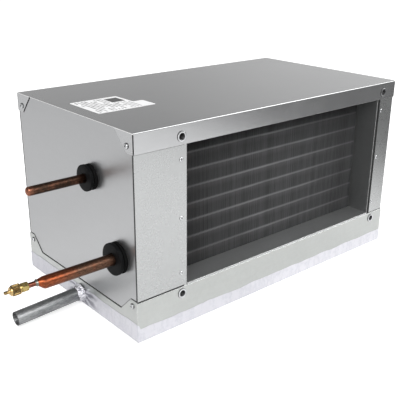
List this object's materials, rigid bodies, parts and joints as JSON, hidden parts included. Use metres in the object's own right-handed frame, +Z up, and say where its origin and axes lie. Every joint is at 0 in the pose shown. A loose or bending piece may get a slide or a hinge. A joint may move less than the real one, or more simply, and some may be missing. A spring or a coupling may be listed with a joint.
{
  "type": "duct cooling coil",
  "caption": "Direct-expansion cooling coil in a galvanised casing for a rectangular air duct, with copper connections, a service valve and a drain.",
  "frame": {"origin": "on the underside, below the centre of the duct mouth and midway along the casing", "axes": "+X to the right as seen from the air inlet, away from the pipe connections; +Y along the air flow; +Z up"},
  "size_m": [0.6836, 0.298, 0.2852],
  "materials": {
    "galvanised_sheet": "galvanised, fine spangle",
    "foam_pad": "closed-cell foam with a foil face",
    "foil": "bright, slightly crumpled foil",
    "drain_steel": "dull galvanised",
    "fins": "dark coated",
    "coil_copper": "drawn copper",
    "pipe_copper": "drawn copper, lightly tarnished",
    "brass": "turned, satin",
    "rubber": "moulded, satin",
    "seal_rubber": "moulded, matt",
    "core_steel": "satin",
    "blade_plastic": "extruded, satin",
    "zinc_steel": "zinc plated",
    "rivet_aluminium": "satin",
    "label": "matt film"
  },
  "bodies": {
    "casing": {"top_cover": "galvanised_sheet", "drip_tray": "galvanised_sheet", "connection_side_cover": "galvanised_sheet", "blind_side_cover": "galvanised_sheet", "front_left_panel": "galvanised_sheet", "front_right_panel": "galvanised_sheet", "rear_left_panel": "galvanised_sheet", "rear_right_panel": "galvanised_sheet", "left_tube_sheet": "galvanised_sheet", "right_tube_sheet": "galvanised_sheet", "front_floor_plate": "galvanised_sheet", "middle_floor_plate": "galvanised_sheet", "rear_floor_plate": "galvanised_sheet", "duct_ceiling_plate": "galvanised_sheet", "tray_insulation": "foam_pad", "foil_wrap": "foil", "drain_pipe": "drain_steel", "drain_collar": "foil", "fin_pack": "fins", "hairpin_tubes": "coil_copper", "return_bends": "coil_copper", "header_stubs": "coil_copper", "suction_header": "pipe_copper", "distributor": "brass", "capillary_tubes": "coil_copper", "suction_pipe": "pipe_copper", "liquid_pipe": "pipe_copper", "suction_grommet": "rubber", "liquid_grommet": "rubber", "valve_stub": "pipe_copper", "valve_body": "brass", "eliminator_side_plates": "galvanised_sheet", "eliminator_rails": "galvanised_sheet", "eliminator_blades": "blade_plastic", "front_rivet_nuts": "zinc_steel", "rear_rivet_nuts": "zinc_steel", "front_rivets": "rivet_aluminium", "rear_rivets": "rivet_aluminium", "connection_side_screws": "zinc_steel", "blind_side_screws": "zinc_steel", "rating_label": "label"},
    "cap_seal": {"cap_gasket": "seal_rubber"},
    "cap": {"valve_cap": "brass"},
    "core": {"core_pin": "core_steel"}
  },
  "joints": [
    {"name": "cap_lift", "type": "slide", "parent": "casing", "child": "cap_seal", "axis": [-1, 0, 0], "range_m": [0, 0.00635]},
    {"name": "cap_turn", "type": "hinge", "parent": "cap_seal", "child": "cap", "pos_m": [-0.43, -0.1075, 0.1128], "axis": [-1, 0, 0], "range_deg": [0, 1800.5]},
    {"name": "core_press", "type": "slide", "parent": "casing", "child": "core", "axis": [1, 0, 0], "range_m": [0, 0.0012], "stiffness_N_per_m": 2000, "springref_m": -0.0005}
  ],
  "couplings": [
    {"joint": "cap_turn", "follows": "cap_lift", "rad_per_m": 4947.4}
  ]
}
